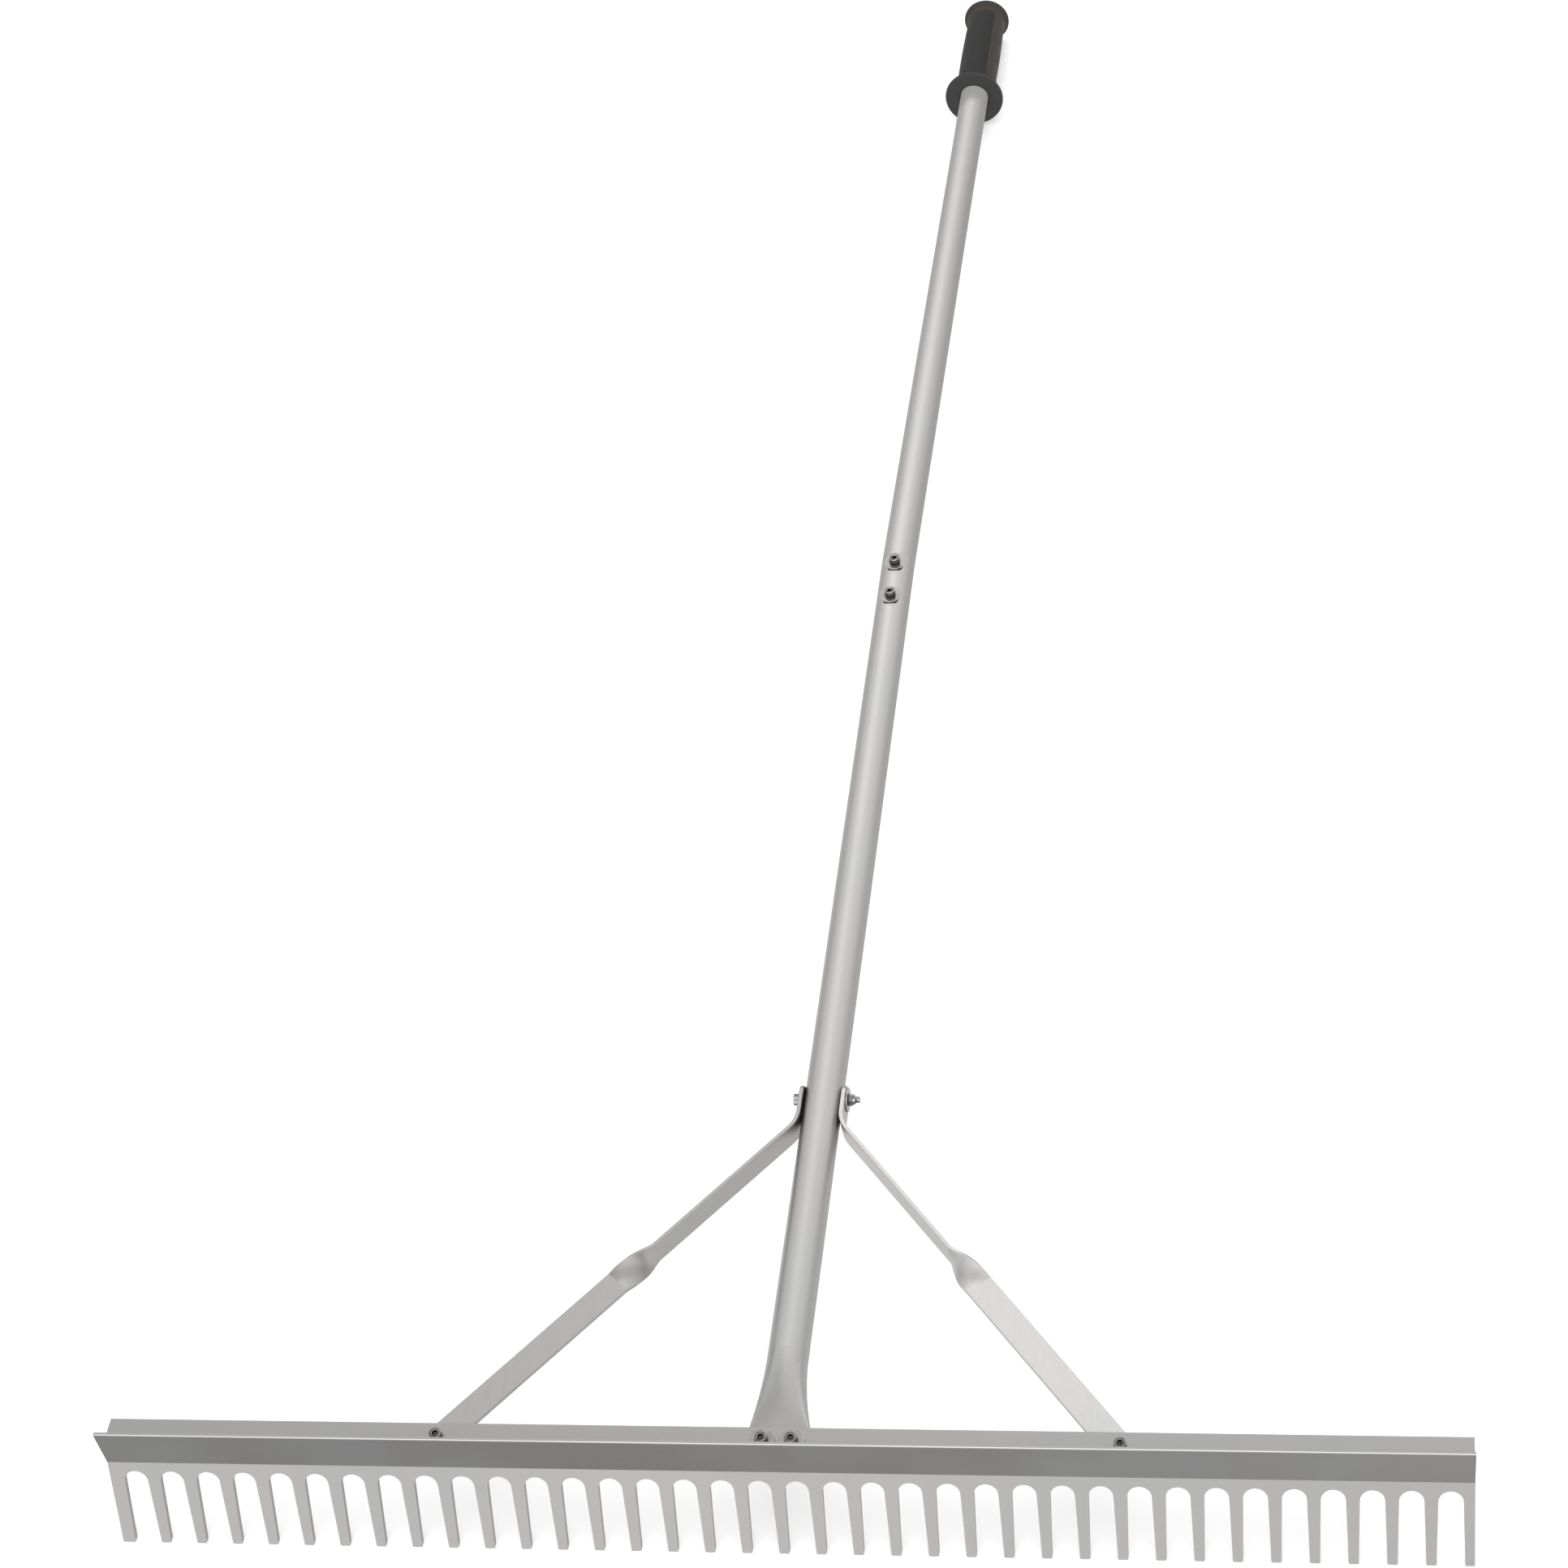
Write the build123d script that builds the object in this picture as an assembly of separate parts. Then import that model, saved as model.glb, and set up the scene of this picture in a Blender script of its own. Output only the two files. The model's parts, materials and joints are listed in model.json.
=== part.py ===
from build123d import *
import os
from math import asin, atan2, cos, degrees, hypot, pi, radians, sin, tan

# Landscape rake: a toothed aluminium head, a two-piece tubular handle and two flat-bar braces.
#
# Every piece is drawn in the tool frame: X runs along the head, Y along the lower tube towards the
# grip, and Z points up, away from the teeth. Z = 0 is the lower tube's axis and Y = 0 is the back
# edge of the head's mounting ledge. lay_down() then sets each piece on the floor as the rake lies:
# on its tooth tips and on the end of its grip, with the origin under the middle tooth.
# All lengths are in millimetres and all angles in degrees.

# ---- Driving dimensions ------------------------------------------------------------------------

# Head: one aluminium extrusion, a bent front plate with a mounting ledge behind it.
head_length = 914.4
head_wall = 3.6
fold_y = -25.3            # fold line of the front face, where the wall meets the tooth plate
fold_z = -6.15
wall_lean = -3.8          # forward lean of the upper wall; negative, as it leans back a little
wall_height = 32.65       # along its own face
wall_crest = 2.4          # the upper wall thins to this at its crest
plate_lean = 25.2         # how far the tooth plate leans forward from vertical
plate_height = 65.5       # along its own face, from the fold to the floor
ledge_top = 7.8
wall_crest_radius = 1.1
edge_radius = 0.6
corner_radius = 1.5       # inside corners of the extrusion

# Teeth: what stands between 36 round-topped slots.
tooth_count = 37
tooth_tip_width = 6.6
tooth_pitch = 25.17
comb_offset = 1.25        # the punched comb sits this far towards +X, so the left end tooth is wider
tooth_widening = 0.047    # gain in tooth width per millimetre above the tip
slot_straight = 50.3      # from the tip to the centre of the slot's round top
tip_corner_radius = 0.9

# Handle: two tubes, the upper one swaged to enter the lower one.
tube_radius = 14.0
tube_wall = 1.5
foot_end = -19.0
foot_offset = 1.7         # the flattened foot sits this far towards +X of the tube's axis
foot_flat_end = 0.3       # the flattened foot stops here and the tube opens out to round
foot_round_start = 58.0
foot_opening_power = 0.88 # how early the foot opens: 1 follows a plain sine
foot_crown = 30.0         # half angle of the soft crown on the foot's opening flanks
foot_sections = 10
mouth = 823.6             # open end of the lower tube
spigot_length = 70.0
spigot_clearance = 0.15
mouth_gap = 0.15
shoulder_radius = 0.8
handle_bend = 3.95        # the upper tube leans down by this much from the mouth on
upper_tube_length = 898.0

# Grip: black rubber, moulded in one piece. Distances run along the upper tube from the mouth.
grip_start = 744.0
grip_length = 159.0
grip_end_wall = 4.5
grip_fit = 0.05
guard_radius = 29.7
guard_thickness = 3.4
grip_neck_radius = 19.0
grip_belly_radius = 20.0
end_flange_radius = 23.6
end_flange_thickness = 3.6
flare_length = 9.5
mouth_relief = 1.0        # radial gap around the tube where it enters the guard
mouth_relief_depth = 3.0
mouth_relief_rounding = 0.5
guard_front_rounding = 1.5
guard_back_rounding = 1.7
guard_root_rounding = 4.0
flange_front_rounding = 1.2
flange_end_rounding = 2.0
flare_sweep = 0.35        # slope at which the flare runs out into the end flange
seam_angle = 34.0         # mould seam, turned from straight up towards +X
seam_width = 0.7
seam_depth = 0.45
seam_margin = 4.0         # the seams stop this far behind the guard

# Braces: flat bar, bolted upright to the tube, twisted a quarter turn, flat under the ledge.
bar_width = 20.0
bar_thickness = 3.0
bar_edge_radius = 0.5
brace_bend_radius = 24.0
brace_bend_start = 254.0
twist_length = 34.5
twist_middle = 126.0      # Y of the middle of the twist
twist_sections = 13
twist_ease = 0.25         # share of the turn that eases in and out; the rest is even

# Bolts: M5 socket head screws with thin washers and nylon-insert nuts.
bolt_radius = 2.5
hole_radius = 2.75
head_radius = 4.25
head_height = 5.0
head_edge_radius = 0.5
knurl_count = 30
knurl_depth = 0.16
socket_flats = 4.0
socket_depth = 2.6
socket_lead_in = 0.15
drill_point_depth = 0.7
drill_point_radius = 0.3
thread_pitch = 0.8
thread_depth = 0.45
thread_run = 11.0
thread_chamfer = 0.64
washer_radius = 9.0
washer_thickness = 1.2
washer_bore_radius = 2.75
washer_edge_radius = 0.3
nut_flats = 8.0
nut_hex_height = 3.4
nut_height = 5.0
nut_crown_radius = 3.45
nut_crown_edge = 0.5
nut_bore_radius = 2.55
collar_radius = 3.0
collar_bottom = 3.0
collar_top = 4.6
collar_clearance = 0.05
collar_lip = 0.15         # the nut's crown is rolled this far over the collar

# Bolt places.
ledge_bolt_y = -10.2
foot_bolt_half_spacing = 10.0
brace_bolt_x = head_length / 4
cross_bolt_y = 269.7
joint_bolt_ys = {"lower_joint": 773.7, "upper_joint": 813.0}

# Bolt lengths under the head, and how far each hex socket stands turned.
ledge_bolt_length = 16.0
joint_bolt_length = 40.0
cross_bolt_length = 43.5
foot_bolt_turns = {"left": 12.0, "right": 40.0}
brace_bolt_turns = {"left": 27.0, "right": 55.0}
joint_bolt_turns = {"lower_joint": 17.0, "upper_joint": 36.0}
cross_bolt_turn = 10.0

# ---- Worked out from the above -----------------------------------------------------------------

ledge_underside = ledge_top - head_wall
foot_bolt_xs = {
    "left": foot_offset - foot_bolt_half_spacing,
    "right": foot_offset + foot_bolt_half_spacing,
}
foot_flat_thickness = 2 * tube_wall
foot_flat_z = ledge_underside - foot_flat_thickness / 2
bar_flat_z = ledge_underside - bar_thickness / 2
tube_perimeter = 2 * pi * tube_radius
tip_front_y = fold_y - plate_height * sin(radians(plate_lean))
tip_front_z = fold_z - plate_height * cos(radians(plate_lean))
flange_place = grip_start + grip_length - end_flange_thickness / 2

# The lie angle brings the tooth tips and the grip's end flange down to one floor.
flange_run = mouth + flange_place * cos(radians(handle_bend)) - tip_front_y
flange_rise = -flange_place * sin(radians(handle_bend)) - tip_front_z
lie_angle = degrees(
    atan2(
        end_flange_radius * cos(radians(handle_bend)) - flange_rise,
        flange_run - end_flange_radius * sin(radians(handle_bend)),
    )
)
tip_depth = head_wall / cos(radians(plate_lean + lie_angle))


def lay_down(shape):
    """Move a piece from the tool frame to the floor, with the middle tooth tip on the origin."""
    lie = Pos(0, -tip_depth / 2, 0) * Rot(lie_angle, 0, 0)
    return lie * Pos(0, -tip_front_y, -tip_front_z) * shape


def upper_axis(distance):
    """Frame on the upper tube's axis, at a distance beyond the mouth; its Z runs to the grip."""
    return Pos(0, mouth, 0) * Rot(-(90 + handle_bend), 0, 0) * Pos(0, 0, distance)


def save(name, shape):
    shape.label = name
    export_step(shape, f"parts/{name}.step")


# ---- Head --------------------------------------------------------------------------------------


def nearest_vertex(face, y, z):
    return face.vertices().sort_by_distance((y, z, 0))[0]


def head_profile():
    """Cross-section of the extrusion, drawn with X for the tool's Y and Y for its Z."""
    wall_up = Vector(-sin(radians(wall_lean)), cos(radians(wall_lean)))
    wall_back = Vector(cos(radians(wall_lean)), sin(radians(wall_lean)))
    plate_down = Vector(-sin(radians(plate_lean)), -cos(radians(plate_lean)))
    plate_back = Vector(cos(radians(plate_lean)), -sin(radians(plate_lean)))
    mitre = radians((wall_lean + plate_lean) / 2)
    mitre_tilt = radians((wall_lean - plate_lean) / 2)

    fold = Vector(fold_y, fold_z)
    crest = fold + wall_up * wall_height
    tip = fold + plate_down * (plate_height + head_wall)
    back_fold = fold + Vector(cos(mitre_tilt), sin(mitre_tilt)) * (head_wall / cos(mitre))
    back_crest = crest + wall_back * wall_crest
    outline = [crest, fold, tip, tip + plate_back * head_wall, back_fold, back_crest, crest]
    plate = make_face(Polyline(*[(p.X, p.Y) for p in outline]))

    wall_back_slope = (back_crest.X - back_fold.X) / (back_crest.Y - back_fold.Y)

    def wall_back_y(z):
        return back_fold.X + (z - back_fold.Y) * wall_back_slope

    # The ledge starts inside the wall, clear of its front face, and ends at Y = 0.
    ledge_length = wall_crest / 2 - wall_back_y(ledge_top)
    ledge = Pos(-ledge_length / 2, ledge_top - head_wall / 2) * Rectangle(ledge_length, head_wall)
    profile = (plate + ledge).face()

    corners = [
        (crest.X, crest.Y, wall_crest_radius),
        (back_crest.X, back_crest.Y, edge_radius),
        (0, ledge_top, edge_radius),
        (0, ledge_underside, edge_radius),
        (wall_back_y(ledge_top), ledge_top, corner_radius),
        (wall_back_y(ledge_underside), ledge_underside, corner_radius),
        (back_fold.X, back_fold.Y, corner_radius),
        (fold.X, fold.Y, edge_radius),
    ]
    for y, z, radius in corners:
        profile = fillet(nearest_vertex(profile, y, z), radius).face()
    return profile


def tooth_slots():
    """All slots of the comb, as cutters square to the tooth plate."""
    def half_gap(height):
        return (tooth_pitch - tooth_tip_width - tooth_widening * height) / 2

    below = -2 * head_wall
    slot = make_face(
        Polyline(
            (-half_gap(below), below),
            (half_gap(below), below),
            (half_gap(slot_straight), slot_straight),
            (-half_gap(slot_straight), slot_straight),
            (-half_gap(below), below),
        )
    )
    slot = slot + Pos(0, slot_straight) * Circle(half_gap(slot_straight))
    plate_face = Plane(
        origin=(0, tip_front_y, tip_front_z),
        x_dir=(1, 0, 0),
        z_dir=(0, -cos(radians(plate_lean)), sin(radians(plate_lean))),
    )
    first = comb_offset - (tooth_count - 2) / 2 * tooth_pitch
    cutters = []
    for index in range(tooth_count - 1):
        place = plate_face * Pos(first + index * tooth_pitch, 0, 0)
        cutters.append(extrude(place * slot, amount=2 * head_wall, both=True))
    return cutters


def rake_head():
    head = extrude(Plane.YZ * head_profile(), amount=head_length / 2, both=True)
    head -= tooth_slots()
    for x in (-brace_bolt_x, *foot_bolt_xs.values(), brace_bolt_x):
        head -= Pos(x, ledge_bolt_y, ledge_top) * Cylinder(hole_radius, 4 * head_wall)
    head = lay_down(head)

    # The tips end level with the floor, with their corners taken off.
    floor_depth = 4 * head_wall
    head -= Pos(0, 0, -floor_depth / 2) * Box(1.1 * head_length, 10 * head_wall, floor_depth)
    level = 0.01
    tip_edges = [e for e in head.edges() if abs(e.center().Z) < level and e.length < tip_depth + level]
    return fillet(tip_edges, tip_corner_radius)


# ---- Handle ------------------------------------------------------------------------------------


def foot_opening(y):
    """How far the tube has opened at y: 0 where it is pressed flat and 1 where it is round."""
    run = (y - foot_flat_end) / (foot_round_start - foot_flat_end)
    return sin(pi / 2 * min(max(run, 0), 1)) ** foot_opening_power


def foot_section(y, inset):
    """Oval section of the foot at y: two shallow arcs joined by two tight ones."""
    opening = foot_opening(y)
    half_thickness = foot_flat_thickness / 2 + (tube_radius - foot_flat_thickness / 2) * opening
    stretch = pi / 2 - 1
    half_width = tube_perimeter / 4 - stretch * half_thickness
    z = foot_flat_z * (1 - opening)

    crown = radians(foot_crown) * opening
    rise = tan(crown / 2)
    side_radius = half_thickness - rise * half_width
    side_radius /= cos(crown) - rise * (1 - sin(crown))
    side_centre = half_width - side_radius
    side_radius -= inset
    half_width -= inset
    half_thickness -= inset
    join_x = side_centre + side_radius * sin(crown)
    join_z = side_radius * cos(crown)

    x_shift = foot_offset * (1 - opening)

    def point(x, height):
        return (x_shift + x, y, z + height)

    def crown_edge(side):
        start = point(side * join_x, side * join_z)
        end = point(-side * join_x, side * join_z)
        if opening == 0:
            return Line(start, end)
        return ThreePointArc(start, point(0, side * half_thickness), end)

    def side_edge(side):
        start = point(side * join_x, -side * join_z)
        end = point(side * join_x, side * join_z)
        return ThreePointArc(start, point(side * half_width, 0), end)

    return make_face([side_edge(1), crown_edge(1), side_edge(-1), crown_edge(-1)])


def foot_loft(start, inset):
    step = (foot_round_start - start) / (foot_sections - 1)
    return loft([foot_section(start + index * step, inset) for index in range(foot_sections)])


def along_y(radius, start, end):
    return Pos(0, (start + end) / 2, 0) * Rot(90, 0, 0) * Cylinder(radius, end - start)


def lower_tube():
    flat = extrude(foot_section(foot_flat_end, 0), amount=foot_flat_end - foot_end, dir=(0, -1, 0))
    tube = flat + foot_loft(foot_flat_end, 0) + along_y(tube_radius, foot_round_start, mouth)
    cavity_start = foot_flat_end + foot_flat_thickness + tube_wall
    bore = foot_loft(cavity_start, tube_wall)
    bore += along_y(tube_radius - tube_wall, foot_round_start, mouth + tube_wall)
    tube -= bore
    for x in foot_bolt_xs.values():
        tube -= Pos(x, ledge_bolt_y, 0) * Cylinder(hole_radius, 2 * tube_radius)
    for y in joint_bolt_ys.values():
        tube -= Pos(0, y, 0) * Cylinder(hole_radius, 4 * tube_radius)
    tube -= Pos(0, cross_bolt_y, 0) * Rot(0, 90, 0) * Cylinder(hole_radius, 4 * tube_radius)
    return tube


def upper_tube():
    spigot_radius = tube_radius - tube_wall - spigot_clearance
    shoulder = mouth + mouth_gap
    overrun = 2 * tube_radius
    body = upper_axis((upper_tube_length - overrun) / 2)
    body = body * Cylinder(tube_radius, upper_tube_length + overrun)
    body -= Pos(0, shoulder - 2 * overrun, 0) * Box(4 * overrun, 4 * overrun, 4 * overrun)
    shoulder_edge = body.edges().sort_by(Axis.Y)[0]
    body = fillet(shoulder_edge, shoulder_radius)

    inside = 2 * tube_wall
    tube = body + along_y(spigot_radius, mouth - spigot_length, shoulder + inside)
    bore_length = upper_tube_length - inside
    tube -= upper_axis(inside + bore_length / 2) * Cylinder(tube_radius - tube_wall, bore_length)
    tube -= along_y(spigot_radius - tube_wall, mouth - spigot_length, mouth + 2 * inside)
    for y in joint_bolt_ys.values():
        tube -= Pos(0, y, 0) * Cylinder(hole_radius, 4 * tube_radius)
    return tube


def handle_grip():
    """Revolved rubber grip with a guard in front, a soft belly and a flared closed end."""
    end = grip_start + grip_length
    guard_back = grip_start + guard_thickness
    flare_start = end - end_flange_thickness - flare_length
    bore = tube_radius + grip_fit
    relief = tube_radius + mouth_relief
    belly_place = (guard_back + flare_start) / 2

    outline = [
        Polyline(
            (0, end),
            (0, end - grip_end_wall),
            (bore, end - grip_end_wall),
            (bore, grip_start + mouth_relief_depth),
            (relief, grip_start + mouth_relief_depth),
            (relief, grip_start),
            (guard_radius, grip_start),
            (guard_radius, guard_back),
            (grip_neck_radius, guard_back),
        ),
        ThreePointArc(
            (grip_neck_radius, guard_back),
            (grip_belly_radius, belly_place),
            (grip_neck_radius, flare_start),
        ),
        Spline(
            (grip_neck_radius, flare_start),
            (end_flange_radius, end - end_flange_thickness),
            tangents=[(0, 1), (1, flare_sweep)],
        ),
        Polyline((end_flange_radius, end - end_flange_thickness), (end_flange_radius, end), (0, end)),
    ]
    profile = make_face(outline)
    rounded = [
        (guard_radius, grip_start, guard_front_rounding),
        (guard_radius, guard_back, guard_back_rounding),
        (grip_neck_radius, guard_back, guard_root_rounding),
        (end_flange_radius, end - end_flange_thickness, flange_front_rounding),
        (end_flange_radius, end, flange_end_rounding),
        (relief, grip_start, mouth_relief_rounding),
    ]
    for radius, place, rounding in rounded:
        profile = fillet(nearest_vertex(profile, radius, place), rounding).face()
    grip = revolve(Plane.XZ * profile, Axis.Z)

    # Two mould seams, opposite each other, run along the belly.
    seam_start = guard_back + seam_margin
    seam_length = flare_start - seam_start
    for turn in (seam_angle - 90, seam_angle + 90):
        groove = Box(2 * seam_depth, seam_width, seam_length)
        grip -= Rot(0, 0, turn) * Pos(grip_belly_radius, 0, seam_start + seam_length / 2) * groove
    return upper_axis(0) * grip


# ---- Braces ------------------------------------------------------------------------------------


def bar_section(origin, width_dir, along):
    """Rounded bar section standing on the bar's centre line."""
    frame = Plane(origin=origin, x_dir=width_dir, z_dir=along)
    return frame * RectangleRounded(bar_width, bar_thickness, bar_edge_radius)


def bar_run(start, end, width_dir):
    along = end - start
    return extrude(bar_section(start, width_dir, along), amount=along.length, dir=along)


def round_end(place, axis_turn):
    """Full-round bar end about a bolt hole; axis_turn tilts the bolt axis from Z about Y."""
    disc = Cylinder(bar_width / 2, bar_thickness)
    disc = fillet(disc.edges().filter_by(GeomType.CIRCLE), bar_edge_radius)
    return Pos(*place) * Rot(0, axis_turn, 0) * disc


def right_brace():
    tab_x = tube_radius + bar_thickness / 2
    centre_x = tab_x + brace_bend_radius
    reach_x = brace_bolt_x - centre_x
    reach_y = brace_bend_start - ledge_bolt_y
    bend = atan2(reach_x, reach_y) + asin(brace_bend_radius / hypot(reach_x, reach_y))

    up = Vector(0, 0, 1)
    along = Vector(sin(bend), -cos(bend), 0)
    outward = Vector(cos(bend), sin(bend), 0)
    tab_top = Vector(tab_x, cross_bolt_y, 0)
    bend_top = Vector(tab_x, brace_bend_start, 0)
    bend_centre = Vector(centre_x, brace_bend_start, 0)
    bend_end = bend_centre - outward * brace_bend_radius
    bolt = Vector(brace_bolt_x, ledge_bolt_y, bar_flat_z)

    twist_start = bend_end + along * ((bend_end.Y - twist_middle) / cos(bend) - twist_length / 2)
    twist_end = twist_start + along * twist_length + up * bar_flat_z

    turn_section = bar_section(bend_top, up, (0, -1, 0))
    bent = revolve(turn_section, Axis(bend_centre, (0, 0, 1)), revolution_arc=degrees(bend))

    sections = []
    for index in range(twist_sections):
        part = index / (twist_sections - 1)
        eased = part * part * (3 - 2 * part)
        quarter = pi / 2 * (twist_ease * eased + (1 - twist_ease) * part)
        width_dir = up * cos(quarter) + outward * sin(quarter)
        centre = twist_start + along * (twist_length * part) + up * (bar_flat_z * eased)
        sections.append(bar_section(centre, width_dir, along))

    brace = round_end(tab_top, 90) + bar_run(tab_top, bend_top, up) + bent
    brace += bar_run(bend_end, twist_start, up)
    brace += loft(sections)
    brace += bar_run(twist_end, bolt, outward)
    brace += round_end(bolt, 0)
    brace -= Pos(*tab_top) * Rot(0, 90, 0) * Cylinder(hole_radius, 2 * bar_thickness)
    brace -= Pos(*bolt) * Cylinder(hole_radius, 2 * bar_thickness)
    return brace


# ---- Fasteners: each stands on the plane Z = 0 of its own frame, with the head above it ----------


def socket_screw(length):
    """Socket head screw: knurled head on Z = 0, shank down to -length with thread rings."""
    crown = head_height - head_edge_radius
    core_radius = head_radius - knurl_depth
    ring = []
    for index in range(2 * knurl_count):
        radius = core_radius if index % 2 else head_radius
        turn = pi * index / knurl_count
        ring.append((radius * cos(turn), radius * sin(turn)))
    under = head_edge_radius / 2
    knurl = Pos(0, 0, under) * extrude(make_face(Polyline(*ring, ring[0])), amount=crown - under)
    edge_middle = head_edge_radius * (1 - cos(pi / 4))
    core = make_face(
        [
            Polyline((0, head_height), (0, 0), (core_radius - under, 0), (core_radius, under)),
            Line((core_radius, under), (core_radius, crown)),
            ThreePointArc(
                (core_radius, crown),
                (core_radius - edge_middle, head_height - edge_middle),
                (core_radius - head_edge_radius, head_height),
            ),
            Line((core_radius - head_edge_radius, head_height), (0, head_height)),
        ]
    )
    head = revolve(Plane.XZ * core, Axis.Z) + knurl

    corner = socket_flats / 2 / cos(pi / 6)
    socket = extrude(RegularPolygon(corner, 6), amount=socket_depth)
    lead_in = Cone(corner - socket_lead_in, corner + socket_lead_in, 2 * socket_lead_in)
    lead_in = Pos(0, 0, socket_depth - socket_lead_in) * lead_in
    point = Cone(drill_point_radius, socket_flats / 2, drill_point_depth)
    point = Pos(0, 0, -drill_point_depth / 2) * point
    head -= Pos(0, 0, head_height - socket_depth) * (socket + lead_in + point)

    thread_top = -(length - thread_run)
    rings = round((thread_run - 2 * thread_pitch) / thread_pitch)
    profile = [(0, under), (bolt_radius, under), (bolt_radius, thread_top)]
    for index in range(rings):
        z = thread_top - index * thread_pitch
        profile.append((bolt_radius - thread_depth, z - thread_pitch / 2))
        profile.append((bolt_radius, z - thread_pitch))
    profile.append((bolt_radius, -length + thread_pitch))
    profile.append((bolt_radius - thread_chamfer, -length))
    profile.append((0, -length))
    profile.append((0, under))
    shank = revolve(Plane.XZ * make_face(Polyline(*profile)), Axis.Z)
    return head + shank


def washer():
    """Wide thin washer lying on Z = 0."""
    ring = Cylinder(washer_radius, washer_thickness, align=(Align.CENTER, Align.CENTER, Align.MIN))
    ring = fillet(ring.edges().filter_by(GeomType.CIRCLE), washer_edge_radius)
    return ring - Cylinder(washer_bore_radius, 3 * washer_thickness)


def nut_body():
    """Nylon-insert nut seated on Z = 0, its crown with the collar's pocket above."""
    corner = nut_flats / 2 / cos(pi / 6)
    hexagon = extrude(RegularPolygon(corner, 6), amount=nut_height)
    bevel = (corner - nut_flats / 2) * tan(pi / 6)
    outline = [
        (0, 0),
        (nut_flats / 2, 0),
        (corner, bevel),
        (corner, nut_hex_height - bevel),
        (nut_flats / 2, nut_hex_height),
        (nut_crown_radius, nut_hex_height),
        (nut_crown_radius, nut_height - nut_crown_edge),
        (nut_crown_radius - nut_crown_edge, nut_height),
        (0, nut_height),
        (0, 0),
    ]
    nut = hexagon & revolve(Plane.XZ * make_face(Polyline(*outline)), Axis.Z)
    nut -= Cylinder(nut_bore_radius, 3 * nut_height)
    pocket_height = collar_top - collar_bottom + 2 * collar_clearance
    pocket = Cylinder(collar_radius + collar_clearance, pocket_height)
    nut -= Pos(0, 0, (collar_bottom + collar_top) / 2) * pocket
    lip = nut_height - collar_top
    nut -= Pos(0, 0, nut_height) * Cylinder(collar_radius - collar_lip, 2 * lip)
    return nut


def nut_collar():
    height = collar_top - collar_bottom
    ring = Cylinder(collar_radius, height) - Cylinder(nut_bore_radius, 2 * height)
    return Pos(0, 0, (collar_bottom + collar_top) / 2) * ring


def save_bolted_joint(name, place, span, turn, washer_under_head):
    """Bolt, washers, nut and nylon collar that clamp the span: its top, bottom and bolt length."""
    top, bottom, length = span
    seat = top
    if washer_under_head:
        save(f"{name}_head_washer", lay_down(place * Pos(0, 0, top) * washer()))
        seat = top + washer_thickness
    bolt = Pos(0, 0, seat) * Rot(0, 0, turn) * socket_screw(length)
    save(f"{name}_bolt", lay_down(place * bolt))
    save(f"{name}_nut_washer", lay_down(place * Pos(0, 0, bottom - washer_thickness) * washer()))
    upside_down = Pos(0, 0, bottom - washer_thickness) * Rot(180, 0, -turn)
    save(f"{name}_nut", lay_down(place * upside_down * nut_body()))
    save(f"{name}_nut_collar", lay_down(place * upside_down * nut_collar()))


# ---- Build and write every piece ---------------------------------------------------------------

os.makedirs("parts", exist_ok=True)

save("rake_head", rake_head())
save("lower_tube", lay_down(lower_tube()))
save("upper_tube", lay_down(upper_tube()))
save("handle_grip", lay_down(handle_grip()))

brace = right_brace()
save("right_brace", lay_down(brace))
save("left_brace", lay_down(mirror(brace, about=Plane.YZ)))

foot_bottom = ledge_underside - foot_flat_thickness
bar_bottom = ledge_underside - bar_thickness
for side, sign in (("left", -1), ("right", 1)):
    foot_place = Pos(foot_bolt_xs[side], ledge_bolt_y, 0)
    brace_place = Pos(sign * brace_bolt_x, ledge_bolt_y, 0)
    span = (ledge_top, foot_bottom, ledge_bolt_length)
    save_bolted_joint(f"{side}_foot", foot_place, span, foot_bolt_turns[side], True)
    span = (ledge_top, bar_bottom, ledge_bolt_length)
    save_bolted_joint(f"{side}_brace", brace_place, span, brace_bolt_turns[side], False)

for name, y in joint_bolt_ys.items():
    joint_place = Pos(0, y, 0)
    span = (tube_radius, -tube_radius, joint_bolt_length)
    save_bolted_joint(name, joint_place, span, joint_bolt_turns[name], True)

cross_place = Pos(0, cross_bolt_y, 0) * Rot(0, -90, 0)
tab_face = tube_radius + bar_thickness
span = (tab_face, -tab_face, cross_bolt_length)
save_bolted_joint("brace_cross", cross_place, span, cross_bolt_turn, False)
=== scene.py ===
import json
import math

import bpy
from mathutils import Matrix, Vector

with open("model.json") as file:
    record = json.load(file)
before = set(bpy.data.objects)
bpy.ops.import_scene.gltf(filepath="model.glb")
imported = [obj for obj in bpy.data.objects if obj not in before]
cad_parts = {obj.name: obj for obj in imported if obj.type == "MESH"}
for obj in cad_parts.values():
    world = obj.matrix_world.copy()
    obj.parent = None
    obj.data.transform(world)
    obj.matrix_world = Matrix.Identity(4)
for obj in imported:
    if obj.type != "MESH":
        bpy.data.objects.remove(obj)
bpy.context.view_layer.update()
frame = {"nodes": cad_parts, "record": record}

# ---- Node helpers ------------------------------------------------------------------------------


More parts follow.
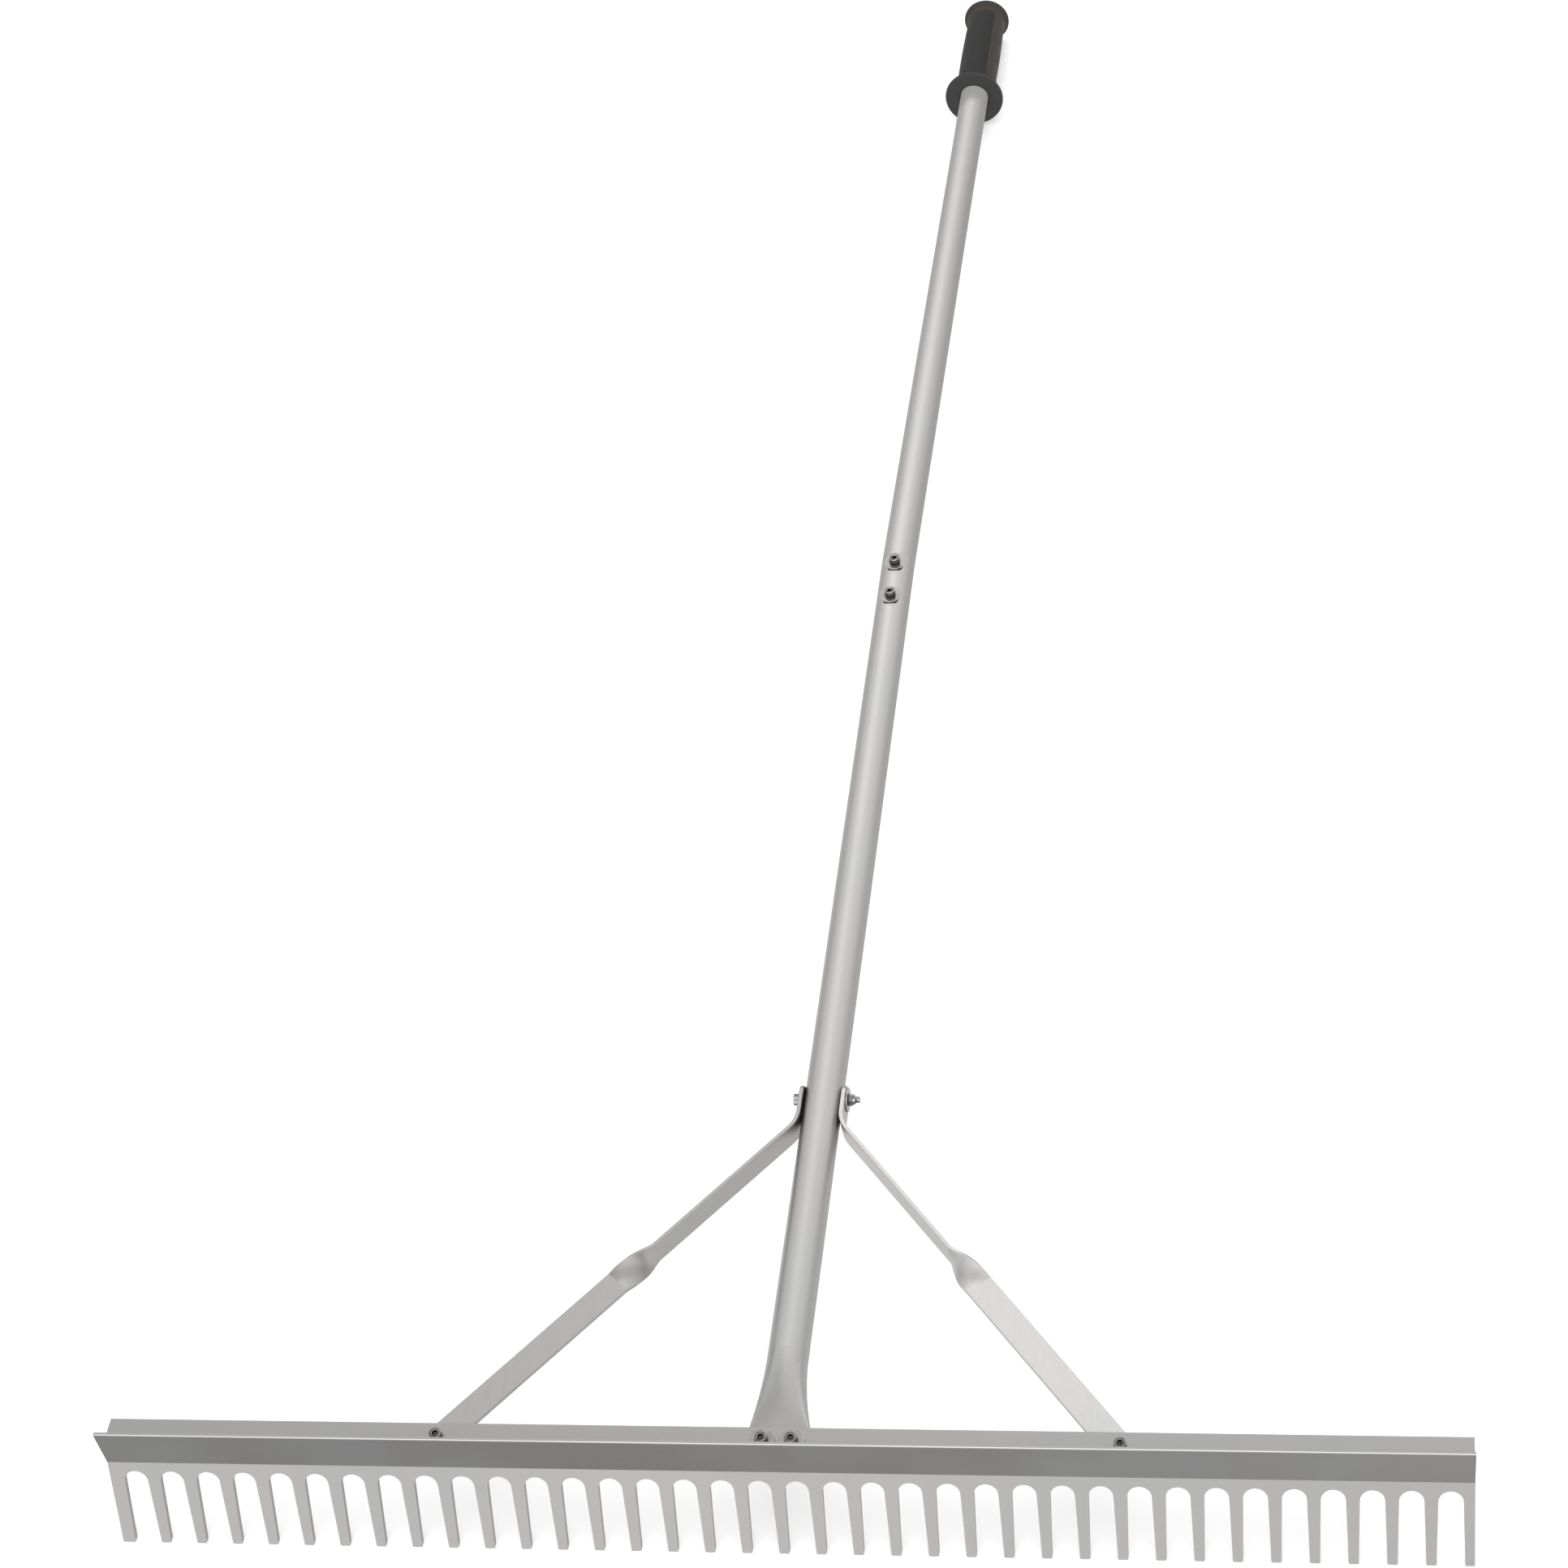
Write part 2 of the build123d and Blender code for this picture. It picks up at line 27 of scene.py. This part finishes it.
class Shader:
    """A material's node tree with short calls for the nodes used here."""

    def __init__(self, name):
        self.material = bpy.data.materials.new(name)
        self.material.use_nodes = True
        self.tree = self.material.node_tree
        self.bsdf = self.tree.nodes["Principled BSDF"]

    def node(self, kind, **inputs):
        made = self.tree.nodes.new(kind)
        for key, value in inputs.items():
            self.feed(made.inputs[key.replace("_", " ")], value)
        return made

    def feed(self, socket, value):
        if isinstance(value, bpy.types.NodeSocket):
            self.tree.links.new(value, socket)
        else:
            socket.default_value = value

    def place(self, turn=(0, 0, 0), scale=(1, 1, 1)):
        """Object coordinates, in metres, turned into line with the piece and scaled."""
        coordinates = self.tree.nodes.new("ShaderNodeTexCoord")
        turned = self.node("ShaderNodeMapping", Vector=coordinates.outputs["Object"], Rotation=turn)
        scaled = self.node("ShaderNodeMapping", Vector=turned.outputs["Vector"], Scale=scale)
        return scaled.outputs["Vector"]

    def noise(self, vector, scale, detail=2.0, roughness=0.5):
        made = self.node(
            "ShaderNodeTexNoise", Vector=vector, Scale=scale, Detail=detail, Roughness=roughness
        )
        return made.outputs["Fac"]

    def span(self, value, low, high, from_low=0.0, from_high=1.0):
        made = self.tree.nodes.new("ShaderNodeMapRange")
        self.feed(made.inputs["Value"], value)
        self.feed(made.inputs["From Min"], from_low)
        self.feed(made.inputs["From Max"], from_high)
        self.feed(made.inputs["To Min"], low)
        self.feed(made.inputs["To Max"], high)
        return made.outputs["Result"]

    def math(self, operation, first, second=0.0):
        made = self.tree.nodes.new("ShaderNodeMath")
        made.operation = operation
        self.feed(made.inputs[0], first)
        self.feed(made.inputs[1], second)
        return made.outputs["Value"]

    def facing(self, aim, low, high):
        """0 to 1 as the surface turns towards aim, between two cosines of the angle to it."""
        dot = self.tree.nodes.new("ShaderNodeVectorMath")
        dot.operation = "DOT_PRODUCT"
        self.feed(dot.inputs[0], self.tree.nodes.new("ShaderNodeNewGeometry").outputs["Normal"])
        self.feed(dot.inputs[1], Vector(aim).normalized())
        return self.span(dot.outputs["Value"], 0.0, 1.0, low, high)

    def mix(self, factor, first, second, blend="MIX"):
        made = self.tree.nodes.new("ShaderNodeMix")
        made.data_type = "RGBA"
        made.blend_type = blend
        self.feed(made.inputs["Factor"], factor)
        self.feed(made.inputs[6], first)
        self.feed(made.inputs[7], second)
        return made.outputs[2]

    def bump(self, height, strength, distance, normal=None):
        made = self.node("ShaderNodeBump", Height=height, Strength=strength, Distance=distance)
        if normal is not None:
            self.feed(made.inputs["Normal"], normal)
        return made.outputs["Normal"]

    def set(self, **inputs):
        for key, value in inputs.items():
            self.feed(self.bsdf.inputs[key.replace("_", " ")], value)
        return self.material


def grey(value, warmth=0.0):
    """A nearly neutral linear colour; warmth above 0 leans to yellow, below 0 to blue."""
    return (value * (1 + warmth), value, value * (1 - warmth), 1.0)


# ---- Materials ---------------------------------------------------------------------------------


def drawn_aluminium(name, tone, turn, line_scale, shine=(0.30, 0.42), streak=0.035, painted_highlight_aim=None):
    """Satin aluminium with fine lines along the way it was drawn or extruded.

    shine is the range of the roughness, streak the depth of the lines, and the last one the way
    that a painted highlight faces, if the piece has one: surfaces turned that way are painted near
    white.
    """
    s = Shader(name)
    lines = s.noise(s.place(turn, line_scale), 1.0, detail=3.0, roughness=0.6)
    cloud = s.noise(s.place(turn, (9, 9, 9)), 1.0, detail=3.0)
    grain = s.noise(s.place(turn, (1400, 1400, 1400)), 1.0, detail=1.0)
    clouds = s.span(cloud, 0.0, 1.0, 0.35, 0.65)
    tint = s.mix(clouds, grey(tone, 0.022), grey(tone * 0.97, 0.006))
    shade = s.math("ADD", s.span(lines, -streak, streak), s.span(cloud, -0.03, 0.03))
    shade_colour = s.mix(s.math("ADD", shade, 0.5), grey(0.0), grey(1.0))
    halved = s.mix(1.0, tint, shade_colour, "MULTIPLY")
    colour = s.mix(1.0, halved, grey(2.0), "MULTIPLY")
    # Painted highlight: surfaces turned towards the given way are painted near white.
    if painted_highlight_aim is not None:
        colour = s.mix(s.facing(painted_highlight_aim, 0.93, 0.985), colour, grey(1.0))
    rough = s.math("ADD", s.span(cloud, shine[0], shine[1], 0.3, 0.7), s.span(grain, -0.03, 0.03))
    normal = s.bump(lines, 3 * streak, 0.0004)
    normal = s.bump(grain, 0.05, 0.0002, normal)
    s.set(Specular_Tint=grey(0.7))
    return s.set(Base_Color=colour, Metallic=1.0, Roughness=rough, Normal=normal)


def stainless(name, tone, rough, streak):
    """Turned stainless steel with streaks and brownish stains, painted shade in its hollows and
    painted highlights on its rims.
    """
    s = Shader(name)
    stains = s.noise(s.place((lie, 0, 0), (300, 300, 300)), 1.0, detail=4.0)
    streaks = s.noise(s.place((lie, 0, 0), (160, 160, 1500)), 1.0, detail=3.0)
    brown = grey(tone * (1 - streak), 0.10 * streak)
    colour = s.mix(s.span(streaks, 0.0, 1.0, 0.35, 0.65), brown, grey(tone, 0.01))
    colour = s.mix(s.span(stains, 0.25, 0.0, 0.35, 0.6), colour, brown)

    # Painted shade: hollows, found by ambient occlusion, are painted dark brown.
    hollow = s.tree.nodes.new("ShaderNodeAmbientOcclusion")
    hollow.samples = 8
    hollow.inputs["Distance"].default_value = 0.004
    depth = s.span(hollow.outputs["AO"], 1.0, 0.0, 0.35, 0.80)
    colour = s.mix(depth, colour, hollow_painted_shade)

    # Painted highlight: rims between the top and the sides, outside the hollows, are painted near
    # white.
    upright = (0, 0, 1)
    rim = s.math("MULTIPLY", s.facing(upright, 0.25, 0.50), s.facing(upright, 0.96, 0.88))
    painted_rim_highlight = s.math("MULTIPLY", rim, s.math("SUBTRACT", 1.0, depth))
    colour = s.mix(painted_rim_highlight, colour, grey(0.95))

    roughness = s.span(stains, rough - 0.04, rough + 0.06, 0.3, 0.7)
    normal = s.bump(streaks, 0.10, 0.0001)
    return s.set(Base_Color=colour, Metallic=1.0, Roughness=roughness, Normal=normal)


def soften_mirror_image(s, brightness):
    """Show a piece in its neighbours' reflections nearly as bright as the studio around it, by a
    painted glow that only glossy rays see.
    """
    paths = s.tree.nodes.new("ShaderNodeLightPath")
    # Painted glow: the piece emits light that only glossy rays see.
    glow = s.node("ShaderNodeEmission", Color=grey(1.0), Strength=brightness)
    mixed = s.tree.nodes.new("ShaderNodeMixShader")
    s.feed(mixed.inputs[0], s.math("MULTIPLY", paths.outputs["Is Glossy Ray"], 0.85))
    s.tree.links.new(s.bsdf.outputs["BSDF"], mixed.inputs[1])
    s.tree.links.new(glow.outputs["Emission"], mixed.inputs[2])
    s.tree.links.new(mixed.outputs["Shader"], s.tree.nodes["Material Output"].inputs["Surface"])


def grip_rubber():
    """Black rubber with a fine grain; past the mould seam it is faintly brown, partly its own
    smoother face and partly painted sheen; the flare has a painted brown sheen and the guard is
    painted lighter.
    """
    s = Shader("moulded_rubber")
    vector = s.place()
    cloud = s.noise(vector, 38.0, detail=4.0)
    grain = s.noise(vector, 1300.0, detail=3.0)
    place = s.tree.nodes.new("ShaderNodeSeparateXYZ")
    s.feed(place.inputs[0], vector)

    def beyond(axis, start, blend):
        return s.span(place.outputs[axis], 0.0, 1.0, start, start + blend)

    behind_guard = beyond("Y", guard_back - 0.001, 0.002)
    past_seam = s.math("MULTIPLY", behind_guard, beyond("X", seam_x, 0.001))
    clouds = s.span(cloud, 0.0, 1.0, 0.35, 0.65)
    body = s.mix(clouds, grey(0.010, 0.02), grey(0.016, 0.04))
    # Past the seam: faintly brown, partly the smoother face's own colour and partly painted sheen.
    body = s.mix(past_seam, body, brown_and_sheen_rubber)
    # Painted sheen: the flare is painted lighter and brown.
    body = s.mix(beyond("Y", flare_front, 0.006), body, flare_painted_sheen)
    # Painted light: the guard is painted lighter than the body.
    colour = s.mix(behind_guard, guard_painted_lighter, body)
    smoother = s.math("MULTIPLY", past_seam, 0.08)
    roughness = s.math("SUBTRACT", s.span(cloud, 0.50, 0.62, 0.3, 0.7), smoother)
    s.set(Base_Color=colour, Roughness=roughness, Normal=s.bump(grain, 0.35, 0.0003))
    s.set(Specular_IOR_Level=0.30)
    soften_mirror_image(s, 0.62)
    return s.material


def nylon():
    """Natural nylon, slightly cloudy."""
    s = Shader("natural_nylon")
    cloud = s.noise(s.place(), 600.0, detail=2.0)
    colour = s.mix(cloud, (0.62, 0.61, 0.56, 1.0), (0.74, 0.73, 0.68, 1.0))
    normal = s.bump(cloud, 0.1, 0.0002)
    return s.set(Base_Color=colour, Roughness=s.span(cloud, 0.35, 0.5), Normal=normal)


# How each tube lies, turned about X from level.
lie = math.radians(0.65)
upper_turn = math.radians(-3.30)

# Painted shade for the hollows of bolts and washers.
hollow_painted_shade = (0.07, 0.045, 0.035, 1.0)
# Past the seam: partly the rubber's own colour, partly painted sheen.
brown_and_sheen_rubber = (0.030, 0.024, 0.020, 1.0)
# Painted sheen on the flare.
flare_painted_sheen = (0.040, 0.033, 0.028, 1.0)
# Painted light: the guard's rubber is painted lighter, standing in for light on its front face.
guard_painted_lighter = grey(0.037, 0.01)

# Places on the grip, in metres, from its ends.
grip = frame["nodes"]["handle_grip"]
grip_ys = [(grip.matrix_world @ Vector(corner)).y for corner in grip.bound_box]
guard_back = min(grip_ys) + 0.0055
flare_front = max(grip_ys) - 0.016
seam_x = 0.0108

# The scale of the lines is small along the piece and large across it.
head_lines = (2.5, 900, 900)
tube_lines = (700, 3, 700)
bar_lines = (350, 60, 350)
head_shine = (0.26, 0.36)
tube_shine = (0.20, 0.29)
head_streak = 0.012
tube_streak = 0.016
# The way that surfaces with the head's painted highlight face.
head_painted_highlight_aim = (0, -0.6, 0.8)

head_lie = (lie, 0, 0)
upper_lie = (upper_turn, 0, 0)
materials = {
    "head_aluminium": drawn_aluminium(
        "extruded_head", 0.51, head_lie, head_lines, head_shine, head_streak, head_painted_highlight_aim
    ),
    "lower_tube": drawn_aluminium(
        "drawn_tube_lower", 0.68, head_lie, tube_lines, tube_shine, tube_streak
    ),
    "upper_tube": drawn_aluminium(
        "drawn_tube_upper", 0.68, upper_lie, tube_lines, tube_shine, tube_streak
    ),
    # The two braces are one bar: the right is painted much lighter than the left, as painted light
    # for how each is lit.
    "left_brace": drawn_aluminium("flat_bar_left", 0.57, head_lie, bar_lines),
    "right_brace": drawn_aluminium("flat_bar_right", 0.84, head_lie, bar_lines),
    "washer_stainless": stainless("stainless_washer", 0.52, 0.22, 0.22),
    "bolt_stainless": stainless("stainless_bolt", 0.30, 0.16, 0.60),
    "grip_rubber": grip_rubber(),
    "collar_nylon": nylon(),
}
slots = {part["node"]: part["material_slot"] for part in frame["record"]["subparts"]}
for name, node in frame["nodes"].items():
    material = materials.get(name) or materials[slots[name]]
    for index in range(len(node.material_slots)):
        node.material_slots[index].material = material

# ---- Floor, light and camera -------------------------------------------------------------------


def pale_floor():
    mesh = bpy.data.meshes.new("pale_floor")
    half = 20.0  # metres, far past the edge of any view
    corners = [(-half, -half, 0), (half, -half, 0), (half, half, 0), (-half, half, 0)]
    mesh.from_pydata(corners, [], [(0, 1, 2, 3)])
    floor = bpy.data.objects.new("pale_floor", mesh)
    bpy.context.scene.collection.objects.link(floor)
    s = Shader("pale_floor")
    cloud = s.noise(s.place(), 3.0, detail=2.0)
    s.set(Base_Color=s.mix(cloud, grey(0.90), grey(0.92)), Roughness=0.9)
    s.set(Emission_Color=grey(1.0), Emission_Strength=0.12)
    mesh.materials.append(s.material)
    floor.visible_glossy = False


pale_floor()

# Brightness of the studio as the metal sees it: (direction, sharpness, strength) of each soft lobe,
# where a negative one darkens. All but the last two came from a fitting program and were then
# rounded, and some were changed. Only reflections show them: all other light is even.
even_studio = 1.35
studio_base = 0.68
studio_lobes = [
    ((-0.15, 0.74, 0.65), 8.0, 0.50),
    ((-0.57, 0.38, -0.73), 8.0, 0.30),
    ((-0.32, -0.36, -0.88), 8.0, -0.48),
    ((-0.42, 0.21, 0.88), 8.0, -0.29),
    ((0.15, 0.99, 0.04), 8.0, -0.32),
    ((-0.96, 0.24, -0.12), 8.0, -0.32),
    ((-0.31, -0.91, -0.27), 8.0, 0.32),
    ((0.98, -0.07, 0.19), 8.0, -0.24),
    ((-0.02, 0.27, -0.96), 8.0, 0.16),
    ((0.60, 0.68, 0.42), 8.0, 0.16),
    ((0.83, -0.37, -0.42), 8.0, 0.15),
    ((0.86, 0.47, -0.19), 8.0, -0.14),
    ((0.66, -0.48, 0.58), 8.0, 0.14),
    ((0.57, 0.16, 0.81), 8.0, -0.12),
    ((-0.05, -0.95, 0.30), 8.0, 0.25),
    ((-0.08, -0.66, 0.75), 12.0, 0.30),
]


def studio_light():
    world = bpy.data.worlds.new("studio")
    bpy.context.scene.world = world
    world.use_nodes = True
    tree = world.node_tree
    background = tree.nodes["Background"]
    links = tree.links
    direction = tree.nodes.new("ShaderNodeTexCoord").outputs["Generated"]

    def math_node(operation, first, second):
        made = tree.nodes.new("ShaderNodeMath")
        made.operation = operation
        for socket, value in zip(made.inputs, (first, second)):
            if isinstance(value, bpy.types.NodeSocket):
                links.new(value, socket)
            else:
                socket.default_value = value
        return made.outputs["Value"]

    total = None
    for aim, sharpness, strength in studio_lobes:
        dot = tree.nodes.new("ShaderNodeVectorMath")
        dot.operation = "DOT_PRODUCT"
        links.new(direction, dot.inputs[0])
        dot.inputs[1].default_value = Vector(aim).normalized()
        raised = math_node("POWER", math_node("MAXIMUM", dot.outputs["Value"], 0.0), sharpness)
        lobe = math_node("MULTIPLY", raised, strength)
        total = math_node("ADD", studio_base if total is None else total, lobe)
    paths = tree.nodes.new("ShaderNodeLightPath")
    difference = math_node("SUBTRACT", total, even_studio)
    masked = math_node("MULTIPLY", difference, paths.outputs["Is Glossy Ray"])
    links.new(math_node("ADD", masked, even_studio), background.inputs["Strength"])
    background.inputs["Color"].default_value = (1.0, 1.0, 1.0, 1.0)


studio_light()


def soft_lamp(name, place, aim, size, power):
    data = bpy.data.lights.new(name, "AREA")
    data.shape = "DISK"
    data.size = size
    data.energy = power
    lamp = bpy.data.objects.new(name, data)
    bpy.context.scene.collection.objects.link(lamp)
    lamp.location = place
    lamp.rotation_mode = "QUATERNION"
    lamp.rotation_quaternion = (Vector(aim) - Vector(place)).to_track_quat("-Z", "Y")
    lamp.visible_glossy = False


soft_lamp("overhead", (0.4, 0.9, 3.6), (0, 0.9, 0), 3.0, 26.0)


# Where the camera stands, in metres, and how it looks at the rake.
camera_place = (0.38871, -0.92687, 1.77502)
camera_look = Vector((-0.10577, 0.67587, -0.72939)).normalized()
camera_up = Vector((0.01064, 0.73423, 0.67882))
camera_lens = 67.511
camera_shift = (-0.16815, -0.01593)


def photo_camera():
    data = bpy.data.cameras.new("photo_camera")
    # The height alone sets the angle of view. The narrower width is what other views are framed by,
    # and it leaves room in them for the lens shift.
    data.sensor_fit = "VERTICAL"
    data.sensor_height = 36.0
    data.sensor_width = 27.0
    data.lens = camera_lens
    data.shift_x, data.shift_y = camera_shift
    data.clip_end = 100.0
    camera = bpy.data.objects.new("photo_camera", data)
    bpy.context.scene.collection.objects.link(camera)
    right = camera_look.cross(camera_up).normalized()
    up = right.cross(camera_look)
    turn = Matrix((right, up, -camera_look)).transposed()
    camera.matrix_world = Matrix.Translation(camera_place) @ turn.to_4x4()
    bpy.context.scene.camera = camera


photo_camera()
bpy.context.scene.view_settings.view_transform = "Standard"
